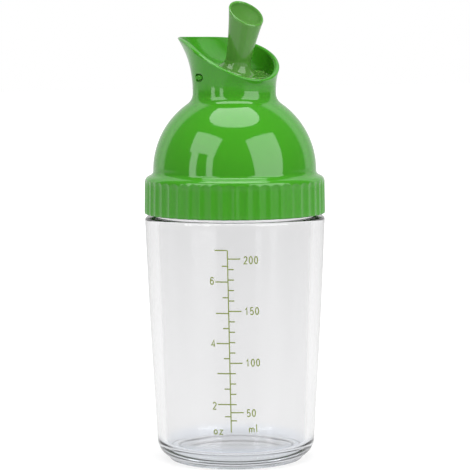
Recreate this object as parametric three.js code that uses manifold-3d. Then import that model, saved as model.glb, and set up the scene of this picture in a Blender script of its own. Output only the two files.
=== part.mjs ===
// Salad dressing shaker: a clear measuring cup closed by a screw lid with a domed shoulder, a pouring spout
// and a thumb lever that tilts the stopper in the neck.
// Millimetres, +Z up. The origin is on the axis at the foot's plane. The spout points along -X.

import * as THREE from "three";
import { mergeVertices } from "three/addons/utils/BufferGeometryUtils.js";
import Module from "manifold-3d";

const wasm = await Module();
wasm.setup();

const degree = Math.PI / 180;

// Faceting
const roundSides = 64;
const smallSides = 28;
const cutterSides = 16;

// Cup
const footInset = 4.7;
const footWidth = 3.6;
const footRecess = 0.8;
const footHeight = 1.1;
const baseCornerRadius = 4.6;
const cupFloorTop = 6;
const floorCornerRadius = 2.6;
const shoulderHeight = 98.2;
const shoulderRadius = 36.25;
const shoulderRounding = 1.2;
const wallDraft = 0.0345;
const wallBow = 0.00016;
const cupWallAtTop = 5.2;
const cupWallAtFloor = 3.7;
const cupNeckWall = 1.5;
const cupNeckHeight = 12.4;
const cupRimRounding = 0.5;

// Lid
const collarGap = 0.9;
const threadRoom = 1.8;
const collarWall = 2.05;
const collarDraft = 0.2;
const collarCorner = 0.7;
const gripCount = 48;
const gripDepth = 0.55;
const gripWidth = 4.3;
const gripTopMargin = 1.2;
const gripFootMargin = 2.2;
const gasketThickness = 1.8;
const seatClearance = 0.1;
const domeStep = 3.35;
const domeWall = 2.2;
const domeCentreRise = 4;
const domeFootFillet = 1.8;
const collarShoulderRounding = 2.6;
const collarShoulderDrop = 0.4;
const shoulderTurn = 55 * degree;
const neckRadius = 16.75;
const neckWall = 1.8;
const neckFillet = 5;
const neckStraight = 2.9;

// Mouth and spout
const rimFlare = 1.35;
const spoutReach = 13.3;
const spoutHalfAngle = 38 * degree;
const rearLipHeight = 2.9;
const rimRise = 16.9;
const rimRiseSharpness = 2.25;
const flareSharpness = 1.4;
const sillSharpness = 0.6;
const rimRearThickness = 1.8;
const rimSpoutThickness = 1;
const rearLip = 1.2;

// Lever, stopper and hinge
const pivotRise = 0.6;
const stopperTilt = 8 * degree;
const stopperThickness = 3.8;
const stopperGap = 0.3;
const sillGap = 0.6;
const sealHeight = 2.8;
const sealWidth = 1.7;
const sealGap = 0.12;
const fitGap = 0.1;
const bossRadius = 2.6;
const bossEndGap = 0.8;
const pinRadius = 1;
const pinFit = 0.05;
const pinRunning = 0.1;
const pinRecess = 0.7;
const pinStand = 0.2;
const pinPocketRadius = 1.45;
const leverOffset = 0.65;
const leverLean = 19 * degree;
const leverLength = 26.6;
const leverRootRadius = 5.1;
const leverFlare = 2.9;
const leverFlareLength = 31;
const leverFlareSharpness = 1.9;
const leverCutTilt = 40 * degree;
const dishDepth = 2.4;
const dishRim = 0.9;

// Printed scale
const inkThickness = 0.1;
const inkGap = 0.03;
const inkLineWidth = 0.55;
const inkTopAngle = -38.8 * degree;
const inkBottomAngle = -37.2 * degree;
const inkLineTop = 87.6;
const inkLineBottom = 15.8;
const fiftyHeight = 23.94;
const heightPerMillilitre = 0.38603;
const heightBow = 0.0001073;
const millilitresPerOunce = 29.57;
const shortTick = 2.3;
const longTick = 5;

// Radii and heights that follow from the sizes above
const quarterTurn = Math.PI / 2;
const cornerHeight = footHeight + baseCornerRadius;
const floorCornerHeight = cupFloorTop + floorCornerRadius;
const footRadius = cupWallRadius(cornerHeight) - footInset;
const boreTopRadius = shoulderRadius - cupWallAtTop;
const boreBottomRadius = cupWallRadius(floorCornerHeight) - cupWallAtFloor;
const cupNeckRadius = boreTopRadius + cupNeckWall;
const cupRimHeight = shoulderHeight + cupNeckHeight;
const gasketBottom = cupRimHeight + seatClearance;
const gasketTop = gasketBottom + gasketThickness;
const ledgeHeight = gasketTop + seatClearance;
const collarBottom = shoulderHeight + collarGap;
const collarInner = cupNeckRadius + threadRoom;
const collarRadius = collarInner + collarWall;
const collarTopRadius = collarRadius - collarDraft;
const collarShoulderHeight = ledgeHeight - collarShoulderDrop;
const domeRadius = collarTopRadius - domeStep;
const domeInner = domeRadius - domeWall;
const domeCentreHeight = ledgeHeight + domeCentreRise;
const neckBore = neckRadius - neckWall;
const filletReach = neckRadius + neckFillet;
const filletRise = Math.sqrt((domeRadius + neckFillet) ** 2 - filletReach ** 2);
const flareStart = domeCentreHeight + filletRise + neckStraight;
const rimRadius = neckRadius + rimFlare;
const rimRiseLength = 2 * rimRadius + spoutReach;
const rimRearHeight = flareStart + rearLipHeight;
const pivotHeight = rimRearHeight + pivotRise;

// Shape helpers

function arc(centreRadius, centreHeight, radius, from, to, steps) {
  const points = [];
  for (let i = 0; i <= steps; i++) {
    const angle = from + ((to - from) * i) / steps;
    points.push([centreRadius + radius * Math.cos(angle), centreHeight + radius * Math.sin(angle)]);
  }
  return points;
}

function signedVolume(positions, indices) {
  const a = new THREE.Vector3();
  const b = new THREE.Vector3();
  const c = new THREE.Vector3();
  let volume = 0;
  for (let i = 0; i < indices.length; i += 3) {
    a.fromArray(positions, 3 * indices[i]);
    b.fromArray(positions, 3 * indices[i + 1]);
    c.fromArray(positions, 3 * indices[i + 2]);
    volume += a.dot(b.cross(c)) / 6;
  }
  return volume;
}

function closedSolid(geometry) {
  const bare = geometry.clone();
  bare.deleteAttribute("normal");
  bare.deleteAttribute("uv");
  const merged = mergeVertices(bare, 1e-4);
  const positions = Float32Array.from(merged.attributes.position.array);
  const indices = [];
  for (let i = 0; i < merged.index.count; i += 3) {
    const corners = [merged.index.getX(i), merged.index.getX(i + 1), merged.index.getX(i + 2)];
    if (new Set(corners).size === 3) {
      indices.push(...corners);
    }
  }
  if (signedVolume(positions, indices) < 0) {
    indices.reverse();
  }
  const mesh = new wasm.Mesh({ numProp: 3, vertProperties: positions, triVerts: Uint32Array.from(indices) });
  return new wasm.Manifold(mesh);
}

function turned(profile, sides) {
  const points = profile.map(([radius, height]) => new THREE.Vector2(radius, height));
  return new THREE.LatheGeometry(points, sides).rotateX(quarterTurn);
}

function turnedSolid(profile, sides = roundSides) {
  return closedSolid(turned([...profile, profile[0]], sides));
}

function rod(radius, length, sides = smallSides) {
  return closedSolid(new THREE.CylinderGeometry(radius, radius, length, sides));
}

function upright(radius, bottom, top) {
  return turnedSolid([[0, bottom], [radius, bottom], [radius, top], [0, top]]);
}

function slab(thickness) {
  const wide = 4 * neckRadius;
  const box = new THREE.BoxGeometry(wide, wide, thickness).rotateY(stopperTilt);
  return closedSolid(box.translate(0, 0, pivotHeight));
}

function atPivot(solid) {
  return solid.translate([0, 0, pivotHeight]);
}

function namedMesh(name, solid, material) {
  const data = solid.getMesh();
  const geometry = new THREE.BufferGeometry();
  geometry.setAttribute("position", new THREE.BufferAttribute(Float32Array.from(data.vertProperties), 3));
  geometry.setIndex(new THREE.BufferAttribute(Uint32Array.from(data.triVerts), 1));
  geometry.computeVertexNormals();
  const mesh = new THREE.Mesh(geometry, material);
  mesh.name = name;
  return mesh;
}

// Materials

function clearPlastic() {
  const look = { color: 0xe9ebee, roughness: 0.05, metalness: 0, transparent: true, opacity: 0.4 };
  return new THREE.MeshStandardMaterial(look);
}

function greenPlastic() {
  return new THREE.MeshStandardMaterial({ color: 0x4aa12c, roughness: 0.18, metalness: 0 });
}

function leverPlastic() {
  return new THREE.MeshStandardMaterial({ color: 0x4f8537, roughness: 0.15, metalness: 0 });
}

function softRing() {
  return new THREE.MeshStandardMaterial({ color: 0xdfe6dc, roughness: 0.6, metalness: 0 });
}

function ink() {
  return new THREE.MeshStandardMaterial({ color: 0x9ba837, roughness: 0.5, metalness: 0 });
}

// Cup

function cupWallRadius(height) {
  const drop = shoulderHeight - height;
  return shoulderRadius - wallDraft * drop - wallBow * drop * drop;
}

function cupOutside() {
  const points = [[footRadius - footWidth, footRecess], [footRadius - footWidth, 0], [footRadius, 0]];
  points.push([footRadius + 0.3 * footHeight, footHeight]);
  const cornerCentre = cupWallRadius(cornerHeight) - baseCornerRadius;
  points.push(...arc(cornerCentre, cornerHeight, baseCornerRadius, -80 * degree, 0, 5));
  const wallSteps = 5;
  const wallTop = shoulderHeight - shoulderRounding;
  for (let i = 1; i < wallSteps; i++) {
    const height = cornerHeight + ((wallTop - cornerHeight) * i) / wallSteps;
    points.push([cupWallRadius(height), height]);
  }
  const roundingCentre = cupWallRadius(wallTop) - shoulderRounding;
  points.push(...arc(roundingCentre, wallTop, shoulderRounding, 0, quarterTurn, 3));
  points.push([cupNeckRadius, shoulderHeight]);
  points.push([cupNeckRadius, cupRimHeight - cupRimRounding]);
  points.push([cupNeckRadius - cupRimRounding, cupRimHeight]);
  return points;
}

function cupInside() {
  const points = [[boreTopRadius + cupRimRounding, cupRimHeight]];
  points.push([boreTopRadius, cupRimHeight - cupRimRounding]);
  points.push([boreTopRadius, shoulderHeight]);
  const centre = boreBottomRadius - floorCornerRadius;
  points.push(...arc(centre, floorCornerHeight, floorCornerRadius, 0, -quarterTurn, 4));
  points.push([0, cupFloorTop], [0, footRecess]);
  return points;
}

function cup() {
  return turnedSolid([...cupOutside(), ...cupInside()]);
}

// Printed scale: one line with ticks, as a thin film just outside the cup's wall

function markHeight(millilitres) {
  const above = millilitres - 50;
  return fiftyHeight + heightPerMillilitre * above + heightBow * above * above;
}

function lineAngle(height) {
  const share = (height - inkLineBottom) / (inkLineTop - inkLineBottom);
  return inkBottomAngle + (inkTopAngle - inkBottomAngle) * share;
}

function inkPatch(bottom, top, leftWidth, rightWidth, across, up) {
  const positions = [];
  for (const lift of [inkGap, inkGap + inkThickness]) {
    for (let j = 0; j <= up; j++) {
      const height = bottom + ((top - bottom) * j) / up;
      const radius = cupWallRadius(height) + lift;
      for (let i = 0; i <= across; i++) {
        const along = -leftWidth + ((leftWidth + rightWidth) * i) / across;
        const angle = lineAngle(height) + along / cupWallRadius(height);
        positions.push(radius * Math.cos(angle), radius * Math.sin(angle), height);
      }
    }
  }
  const layer = (across + 1) * (up + 1);
  const at = (k, j, i) => k * layer + j * (across + 1) + i;
  const indices = [];
  const face = (a, b, c, d) => indices.push(a, b, c, a, c, d);
  for (let j = 0; j < up; j++) {
    for (let i = 0; i < across; i++) {
      face(at(1, j, i), at(1, j, i + 1), at(1, j + 1, i + 1), at(1, j + 1, i));
      face(at(0, j, i), at(0, j + 1, i), at(0, j + 1, i + 1), at(0, j, i + 1));
    }
    face(at(0, j, 0), at(1, j, 0), at(1, j + 1, 0), at(0, j + 1, 0));
    face(at(1, j, across), at(0, j, across), at(0, j + 1, across), at(1, j + 1, across));
  }
  for (let i = 0; i < across; i++) {
    face(at(0, 0, i), at(0, 0, i + 1), at(1, 0, i + 1), at(1, 0, i));
    face(at(1, up, i), at(1, up, i + 1), at(0, up, i + 1), at(0, up, i));
  }
  const geometry = new THREE.BufferGeometry();
  geometry.setAttribute("position", new THREE.BufferAttribute(Float32Array.from(positions), 3));
  geometry.setIndex(indices);
  return closedSolid(geometry);
}

function tick(millilitres, leftLength, rightLength) {
  const height = markHeight(millilitres);
  const across = Math.max(leftLength, rightLength) > shortTick ? 2 : 1;
  return inkPatch(height - inkLineWidth / 2, height + inkLineWidth / 2, leftLength, rightLength, across, 1);
}

function scalePrint() {
  const halfLine = inkLineWidth / 2;
  const parts = [inkPatch(inkLineBottom, inkLineTop, halfLine, halfLine, 1, 8)];
  for (let volume = 200; volume >= 40; volume -= 10) {
    parts.push(tick(volume, 0, volume % 50 === 0 ? longTick : shortTick));
  }
  for (let halves = 14; halves >= 3; halves--) {
    const length = halves % 2 === 0 ? longTick : shortTick;
    parts.push(tick((halves / 2) * millilitresPerOunce, length, 0));
  }
  return wasm.Manifold.union(parts);
}

// Lid: one moulding, lofted round the axis. Each ring gives radius and height at an angle from the spout.

function rimRadiusAt(angle) {
  return rimRadius + spoutReach * Math.exp(-((angle / spoutHalfAngle) ** 2));
}

function rimHeightAt(angle) {
  const forward = rimRadiusAt(angle) * Math.cos(angle);
  const share = Math.min(1, Math.max(0, (forward + rimRadius) / rimRiseLength));
  return rimRearHeight + rimRise * (1 - (1 - share) ** rimRiseSharpness);
}

function rimThicknessAt(angle) {
  const spoutShare = (rimRadiusAt(angle) - rimRadius) / spoutReach;
  return rimRearThickness + (rimSpoutThickness - rimRearThickness) * spoutShare;
}

function sillHeightAt(angle) {
  const slope = pivotHeight + neckBore * Math.cos(angle) * Math.tan(stopperTilt);
  const above = slope + stopperThickness / 2 / Math.cos(stopperTilt) + sillGap;
  return Math.min(above, rimHeightAt(angle) - rearLip);
}

function mouthInside(share) {
  return (angle) => {
    const low = sillHeightAt(angle);
    const top = rimHeightAt(angle) - rimThicknessAt(angle) / 4;
    const edge = rimRadiusAt(angle) - rimThicknessAt(angle);
    return [neckBore + (edge - neckBore) * share ** sillSharpness, low + (top - low) * share];
  };
}

function rimTop(angle) {
  return [rimRadiusAt(angle) - rimThicknessAt(angle) / 2, rimHeightAt(angle)];
}

function mouthOutside(share) {
  return (angle) => {
    const top = rimHeightAt(angle) - rimThicknessAt(angle) / 4;
    const flare = (rimRadiusAt(angle) - neckRadius) * share ** flareSharpness;
    return [neckRadius + flare, flareStart + (top - flareStart) * share];
  };
}

function lidRings() {
  const rings = [[collarInner, collarBottom], [collarInner, ledgeHeight], [domeInner, ledgeHeight]];
  const boreMeets = Math.acos(neckBore / domeInner);
  rings.push(...arc(0, domeCentreHeight, domeInner, 0, boreMeets, 5));
  rings.push(mouthInside(0), mouthInside(0.15), mouthInside(0.4), mouthInside(0.7));
  rings.push(mouthInside(1), rimTop, mouthOutside(1));
  rings.push(mouthOutside(0.78), mouthOutside(0.56), mouthOutside(0.34), mouthOutside(0));
  const domeTurn = Math.atan2(filletRise, filletReach);
  rings.push(...arc(filletReach, domeCentreHeight + filletRise, neckFillet, Math.PI, Math.PI + domeTurn, 4));
  rings.push(...arc(0, domeCentreHeight, domeRadius, domeTurn, 0, 8).slice(1));
  const footCentre = domeRadius + domeFootFillet;
  const footTurn = Math.PI + shoulderTurn;
  rings.push(...arc(footCentre, domeCentreHeight, domeFootFillet, Math.PI, footTurn, 2).slice(1));
  const shoulderCentre = collarTopRadius - collarShoulderRounding;
  rings.push(...arc(shoulderCentre, collarShoulderHeight, collarShoulderRounding, shoulderTurn, 0, 3));
  const cornerCentre = collarRadius - collarCorner;
  rings.push(...arc(cornerCentre, collarBottom + collarCorner, collarCorner, 0, -quarterTurn, 3));
  return rings.map((ring) => (typeof ring === "function" ? ring : () => ring));
}

function lidShell() {
  const rings = lidRings();
  const positions = [];
  for (const ring of rings) {
    for (let i = 0; i < roundSides; i++) {
      const turn = (2 * Math.PI * i) / roundSides;
      const fromSpout = turn > Math.PI ? 2 * Math.PI - turn : turn;
      const [radius, height] = ring(fromSpout);
      positions.push(-radius * Math.cos(turn), -radius * Math.sin(turn), height);
    }
  }
  const indices = [];
  for (let j = 0; j < rings.length; j++) {
    const here = j * roundSides;
    const next = ((j + 1) % rings.length) * roundSides;
    for (let i = 0; i < roundSides; i++) {
      const beside = (i + 1) % roundSides;
      indices.push(here + i, next + i, next + beside, here + i, next + beside, here + beside);
    }
  }
  const geometry = new THREE.BufferGeometry();
  geometry.setAttribute("position", new THREE.BufferAttribute(Float32Array.from(positions), 3));
  geometry.setIndex(indices);
  return closedSolid(geometry);
}

function gripFlute() {
  const radius = ((gripWidth / 2) ** 2 + gripDepth ** 2) / (2 * gripDepth);
  const top = collarShoulderHeight - gripTopMargin;
  const bottom = collarBottom + gripFootMargin;
  const profile = [[0, bottom], [radius - gripDepth, bottom], [radius, bottom + gripDepth]];
  profile.push(...arc(radius - gripWidth / 2, top, gripWidth / 2, 0, quarterTurn, 2));
  profile.push([0, top + gripWidth / 2]);
  return turnedSolid(profile, cutterSides).translate([collarRadius - gripDepth + radius, 0, 0]);
}

function gripFlutes() {
  const flute = gripFlute();
  const flutes = [];
  for (let i = 0; i < gripCount; i++) {
    flutes.push(flute.rotate([0, 0, (360 * i) / gripCount]));
  }
  return wasm.Manifold.union(flutes);
}

function pinHoles() {
  const through = atPivot(rod(pinRadius + pinFit, 4 * neckRadius));
  const pocketFloor = neckRadius - pinRecess;
  const pocketLength = 2 * neckRadius;
  const pocketCentre = pocketFloor + pocketLength / 2;
  const pocket = atPivot(rod(pinPocketRadius, pocketLength)).translate([0, pocketCentre, 0]);
  return through.add(pocket).add(pocket.mirror([0, 1, 0]));
}

function lid() {
  return lidShell().subtract(gripFlutes()).subtract(pinHoles());
}

function lidGasket() {
  const inner = boreTopRadius + seatClearance;
  const outer = collarInner - seatClearance;
  return turnedSolid([[inner, gasketBottom], [outer, gasketBottom], [outer, gasketTop], [inner, gasketTop]]);
}

// Lever with the stopper plate on its foot

function leverRadius(along) {
  return leverRootRadius + leverFlare * (along / leverFlareLength) ** leverFlareSharpness;
}

function leverStem() {
  const length = leverLength + 2 * leverRootRadius;
  const steps = 8;
  const profile = [[0, 0]];
  for (let i = 0; i <= steps; i++) {
    const along = (length * i) / steps;
    profile.push([leverRadius(along), along]);
  }
  profile.push([0, length]);
  const stem = turned([...profile, profile[0]], smallSides).rotateY(leverLean);
  return atPivot(closedSolid(stem)).translate([leverOffset, 0, 0]);
}

function onLeverEnd(geometry) {
  const across = leverOffset + leverLength * Math.sin(leverLean);
  const height = pivotHeight + leverLength * Math.cos(leverLean);
  return closedSolid(geometry.rotateY(leverCutTilt)).translate([across, 0, height]);
}

function leverEndCut() {
  const size = 2 * leverLength;
  return onLeverEnd(new THREE.BoxGeometry(size, size, size).translate(0, 0, size / 2));
}

function leverDish() {
  const mouth = leverRadius(leverLength) - dishRim;
  const sphere = (mouth * mouth + dishDepth * dishDepth) / (2 * dishDepth);
  const half = Math.asin(mouth / sphere);
  const profile = arc(0, sphere - dishDepth, sphere, -quarterTurn, half - quarterTurn, 4);
  profile.push([mouth, dishDepth], [0, dishDepth]);
  const stretch = 1 / Math.cos(leverCutTilt - leverLean);
  return onLeverEnd(turned([...profile, profile[0]], smallSides).scale(stretch, 1, 1));
}

function stopperPlate() {
  const reach = neckBore - stopperGap;
  const core = upright(reach, pivotHeight - neckRadius, pivotHeight + neckRadius);
  const boss = atPivot(rod(bossRadius, 2 * (neckBore - bossEndGap)));
  return core.intersect(slab(stopperThickness)).add(boss);
}

function sealRing(outer, inner, height) {
  const bottom = pivotHeight - neckRadius;
  const top = pivotHeight + neckRadius;
  return upright(outer, bottom, top).subtract(upright(inner, bottom, top)).intersect(slab(height));
}

function sealGroove() {
  return sealRing(2 * neckRadius, neckBore - sealWidth - sealGap, sealHeight + 2 * fitGap);
}

function lever() {
  const stem = leverStem().subtract(leverEndCut()).subtract(leverDish());
  const pinBore = atPivot(rod(pinRadius + pinRunning, 4 * neckRadius));
  return stopperPlate().subtract(sealGroove()).add(stem).subtract(pinBore);
}

function stopperSeal() {
  const outer = neckBore - sealGap;
  const pinBore = atPivot(rod(pinRadius + pinRunning, 4 * neckRadius));
  return sealRing(outer, neckBore - sealWidth, sealHeight).subtract(pinBore);
}

function hingePin() {
  return atPivot(rod(pinRadius, 2 * (neckRadius - pinRecess + pinStand)));
}

const shaker = new THREE.Group();
shaker.add(namedMesh("cup", cup(), clearPlastic()));
shaker.add(namedMesh("scale_print", scalePrint(), ink()));
shaker.add(namedMesh("lid_gasket", lidGasket(), softRing()));
shaker.add(namedMesh("lid", lid(), greenPlastic()));
shaker.add(namedMesh("hinge_pin", hingePin(), greenPlastic()));
shaker.add(namedMesh("lever", lever(), leverPlastic()));
shaker.add(namedMesh("stopper_seal", stopperSeal(), softRing()));

export default shaker;
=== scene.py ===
# Salad dressing shaker: finishes, fine surfaces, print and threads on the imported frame.
# Sizes are in millimetres and turned into metres when a mesh is made. The spout points along -X.

import bpy
import math
from mathutils import Matrix, Vector


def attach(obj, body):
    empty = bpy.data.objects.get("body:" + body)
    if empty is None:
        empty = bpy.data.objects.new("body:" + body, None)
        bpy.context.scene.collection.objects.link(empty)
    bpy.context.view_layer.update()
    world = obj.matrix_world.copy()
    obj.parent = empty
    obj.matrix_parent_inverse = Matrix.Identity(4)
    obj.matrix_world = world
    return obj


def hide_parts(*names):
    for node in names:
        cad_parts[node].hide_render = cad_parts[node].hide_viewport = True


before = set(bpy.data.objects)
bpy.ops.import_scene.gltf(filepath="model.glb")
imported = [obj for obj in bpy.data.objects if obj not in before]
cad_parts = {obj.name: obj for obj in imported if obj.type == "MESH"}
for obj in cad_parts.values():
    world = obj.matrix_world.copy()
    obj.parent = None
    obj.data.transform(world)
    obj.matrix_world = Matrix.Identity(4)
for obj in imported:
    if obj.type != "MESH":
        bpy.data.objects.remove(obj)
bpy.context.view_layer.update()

MM = 0.001
ROUND_SIDES = 384

# Cup, in millimetres
CORNER_HEIGHT = 8.0
BASE_CORNER = 7.4
FOOT_HEIGHT = 1.1
FOOT_WIDTH = 3.6
FOOT_RECESS = 0.8
FOOT_EDGE = 0.3
FOOT_STEP = 0.5
FLOOR_TOP = 6.0
FLOOR_CORNER = 2.6
SHOULDER_HEIGHT = 98.2
SHOULDER_RADIUS = 36.25
SHOULDER_ROUNDING = 1.2
WALL_DRAFT = 0.0345
WALL_BOW = 0.00016
FOOT_RADIUS = 26.99
BORE_TOP = 31.05
BORE_BOTTOM = 28.174
CUP_NECK_RADIUS = 32.55
RIM_HEIGHT = 110.6
RIM_ROUNDING = 0.5
CUP_NECK_FILLET = 0.6

# Small blends of the cup's foot, as distances outward and up
RECESS_BLEND = ((-0.6, 0.0), (-0.15, -0.15), (0.0, -0.5))
GROOVE_BLEND = ((0.1, -0.2), (0.45, 0.0))

# Screw thread: two starts, 8 mm a turn
THREAD_LEAD = 8.0
THREAD_PITCH = 4.0
THREAD_HEIGHT = 1.15
THREAD_CREST = 0.35
THREAD_FLANK = 0.55
CUP_THREAD = (101.2, 108.0)
LID_THREAD = (102.2, 109.0)
THREAD_RUNOUT = 1.2

# Gasket
GASKET_BOTTOM = 110.7
GASKET_TOP = 112.5
GASKET_INNER = BORE_TOP + 0.1
GASKET_OUTER = 34.25

# Lid
COLLAR_BOTTOM = 99.3
COLLAR_INNER = 34.35
COLLAR_RADIUS = 36.4
COLLAR_TOP_RADIUS = 36.2
COLLAR_CORNER = 0.7
GRIPS = 48
SIDES_PER_GRIP = 10
GRIP_DEPTH = 0.55
GRIP_WIDTH = 4.3
GRIP_TOP = 111.0
GRIP_FADE = (0.86, 1.06)
LEDGE_HEIGHT = 112.6
LEDGE_FILLET = 0.6
LID_EDGE = 0.5
DOME_SKIRT = 2.5
DOME_RADIUS = 32.85
DOME_INNER = 30.65
DOME_CENTRE = 116.6
DOME_FOOT_FILLET = 1.8
SHOULDER_TURN = math.radians(55)
COLLAR_SHOULDER = 112.2
COLLAR_SHOULDER_ROUNDING = 2.6
NECK_RADIUS = 16.75
NECK_BORE = 14.95
NECK_FILLET = 5.0
BORE_CORNER = 1.2
BORE_BLEND = ((0.4, -0.7), (0.08, -0.2), (0.0, 0.4))

# Mouth and spout
FLARE_START = 150.477
MOUTH_RADIUS = 18.1
SPOUT_REACH = 13.3
SPOUT_HALF_ANGLE = math.radians(38)
RIM_REAR = 153.377
RIM_RISE = 16.9
RIM_RISE_LENGTH = 2 * MOUTH_RADIUS + SPOUT_REACH
RIM_SHARPNESS = 2.25
FLARE_SHARPNESS = 1.4
SILL_SHARPNESS = 0.6
RIM_REAR_THICKNESS = 2.2
RIM_SPOUT_THICKNESS = 1.0
REAR_LIP = 1.2
# Inside of the mouth and neck: rougher and less shiny, and its colour darkened by the last factor, a painted
# shade standing in for the shade inside the neck.
MOUTH_ROUGHNESS = 0.25
MOUTH_SPECULAR = 0.12
MOUTH_PAINTED_SHADE = 0.84

# Lever, stopper and pin
PIVOT = 153.977
STOPPER_TILT = math.radians(8)
STOPPER_THICKNESS = 3.8
STOPPER_GAP = 0.3
SILL_GAP = 0.6
SEAL_HEIGHT = 2.8
SEAL_WIDTH = 1.7
SEAL_GAP = 0.12
SEAL_GROOVE_GAP = 0.1
PLATE_BEVEL = ((0.25, 0.0), (0.06, 0.08), (0.0, 0.2))
PIN_RADIUS = 1.0
PIN_FIT = 0.05
PIN_RUNNING = 0.1
PIN_CHAMFER = ((0.0, 0.25), (0.08, 0.08), (0.25, 0.0))
PIN_REACH = 17.2
PIN_HEAD_WIDTH = 4.4
PIN_HEAD_HEIGHT = 1.3
PIN_HEAD_STEP = 0.1
PIN_POCKET_WIDTH = 5.4
PIN_POCKET_HEIGHT = 3.2
PIN_POCKET_FLOOR = 15.85
BOSS_RADIUS = 2.6
BOSS_REACH = 14.15
BOSS_CHAMFER = ((0.0, 0.4), (0.12, 0.12), (0.4, 0.0))
LEVER_OFFSET = 0.5
LEVER_LEAN = math.radians(19)
LEVER_LENGTH = 26.6
LEVER_ROOT = 4.8
LEVER_FLARE = 3.3
LEVER_FLARE_LENGTH = 31.0
LEVER_SHARPNESS = 1.9
LEVER_CUT = math.radians(40)
LEVER_START = 1.0
LEVER_EDGE = 0.45
LEVER_FOOT_FILLET = 6.0
LEVER_FOOT_GAP = 0.4
DISH_DEPTH = 2.4
DISH_RIM = 0.6
DISH_SHARPNESS = 0.8
# The lever's end dish: rougher and less shiny, and its colour darkened by the last factor, a painted shade
# standing in for the shade in the hollow.
DISH_ROUGHNESS = 0.38
DISH_SPECULAR = 0.05
DISH_PAINTED_SHADE = 0.76

# Lip round the dish: the part of the radius gone inward, and the drop from the end's plane
DISH_LIP = ((0.03, 0.12), (0.075, 0.0), (0.12, 0.06), (0.15, 0.2))
DISH_LIP_WIDTH = 0.03
DISH_LIP_DROP = 0.25

# Printed scale
INK_GAP = 0.03
INK_THICKNESS = 0.1
LINE_WIDTH = 0.42
TICK_WIDTH = 0.46
PEN_WIDTH = 0.42
SIGN_HEIGHT = 3.0
UNIT_SIZE = 1.12
SIGN_SPACING = 0.19
LINE_TOP = 87.8
LINE_BOTTOM = 15.8
LINE_TOP_ANGLE = math.radians(-38.8)
LINE_BOTTOM_ANGLE = math.radians(-37.2)

# Volume and height in mm; ounces and volume in ml; each label's volume and its shift up from its mark
MARKS = ((40, 20.5), (60, 27.0), (100, 43.4), (200, 84.4))
OUNCES = ((2, 60), (3, 90), (5, 148), (7, 208.2))
ML_LABELS = ((200, -0.5), (150, 0.0), (100, 0.1), (50, -0.3))
OZ_LABELS = ((6, 0.4), (4, 0.0), (2, -0.6))
SHORT_TICK = 2.3
LONG_TICK = 5.0
ML_LABEL_LEFT = 6.2
OZ_LABEL_RIGHT = -5.6
OZ_UNIT_RIGHT = -3.2
ML_UNIT_SHIFT = 0.7
UNIT_HEIGHT = 16.6

# Camera, in millimetres and pixels of the 470 px frame
FRAME_PIXELS = 470
FOCAL_PIXELS = 2040.0
CAMERA_DISTANCE = 820.0
CAMERA_HEIGHT = 166.5
CAMERA_AZIMUTH = math.radians(56)
CAMERA_PITCH = math.radians(5.3)
CAMERA_ROLL = math.radians(-0.28)
SENSOR = 36.0

# Least and greatest brightness of the studio as it is seen through the clear cup
THROUGH_LEVEL = 0.7
THROUGH_CAP = 0.86

# Softboxes: name, azimuth, elevation, width and height, in degrees and metres
WINDOWS = (
    ("window_right", 49, 23.5, 1.25, 1.4),
    ("window_left_top", -50, 37, 1.05, 0.7),
    ("window_left_leg", -60.5, 11, 0.29, 0.66),
    ("window_left_leg_2", -35.5, 11, 0.24, 0.66),
)
WINDOW_RADIANCE = 3.7
OVERHEAD_RADIANCE = 3.6
LIGHT_DISTANCE = 1.5
LIGHT_TARGET = 0.1
FLOOR_HALF = 6.0
FLOOR_GREY = (0.25, 0.25, 0.25, 1)


# Mesh helpers

def make_object(name, vertices, faces, body, smooth=True):
    mesh = bpy.data.meshes.new(name)
    mesh.from_pydata([(x * MM, y * MM, z * MM) for x, y, z in vertices], [], faces)
    mesh.update()
    if smooth:
        mesh.shade_smooth()
    else:
        mesh.shade_flat()
    piece = bpy.data.objects.new(name, mesh)
    bpy.context.scene.collection.objects.link(piece)
    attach(piece, body)
    return piece


def arc(centre_radius, centre_height, radius, start, end, steps):
    points = []
    for i in range(steps + 1):
        angle = start + (end - start) * i / steps
        points.append((centre_radius + radius * math.cos(angle), centre_height + radius * math.sin(angle)))
    return points


def spread(first, last, steps):
    """Points from first to last, without first."""
    return [(first[0] + (last[0] - first[0]) * i / steps, first[1] + (last[1] - first[1]) * i / steps)
            for i in range(1, steps + 1)]


def loft(rings, sides, closed):
    """Vertices and faces of rings of points; closed joins the last ring to the first."""
    vertices = [point for ring in rings for point in ring]
    faces = []
    count = len(rings) if closed else len(rings) - 1
    for j in range(count):
        here = j * sides
        there = ((j + 1) % len(rings)) * sides
        for i in range(sides):
            k = (i + 1) % sides
            faces.append((here + i, here + k, there + k, there + i))
    return vertices, faces


def turned_rings(profile, sides, shift=None):
    rings = []
    for radius, height in profile:
        ring = []
        for i in range(sides):
            angle = 2 * math.pi * i / sides
            r = radius + (shift(angle, radius, height) if shift else 0)
            ring.append((r * math.cos(angle), r * math.sin(angle), height))
        rings.append(ring)
    return rings


def outward(piece):
    """Turn all faces outward by the sign of the enclosed volume."""
    mesh = piece.data
    mesh.calc_loop_triangles()
    volume = 0.0
    for triangle in mesh.loop_triangles:
        a, b, c = (mesh.vertices[i].co for i in triangle.vertices)
        volume += a.dot(b.cross(c))
    if volume < 0:
        mesh.flip_normals()
    return piece


def loose_object(name, vertices, faces):
    """A solid that only cuts another or is joined to it."""
    mesh = bpy.data.meshes.new(name)
    mesh.from_pydata([(x * MM, y * MM, z * MM) for x, y, z in vertices], [], faces)
    piece = bpy.data.objects.new(name, mesh)
    bpy.context.scene.collection.objects.link(piece)
    return outward(piece)


def around_pivot(stations, sides):
    """Rings about the pin's axis, from the place along it and the radius of each."""
    turns = [2 * math.pi * i / sides for i in range(sides)]
    return [[(radius * math.cos(turn), y, PIVOT + radius * math.sin(turn)) for turn in turns]
            for y, radius in stations]


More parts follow.
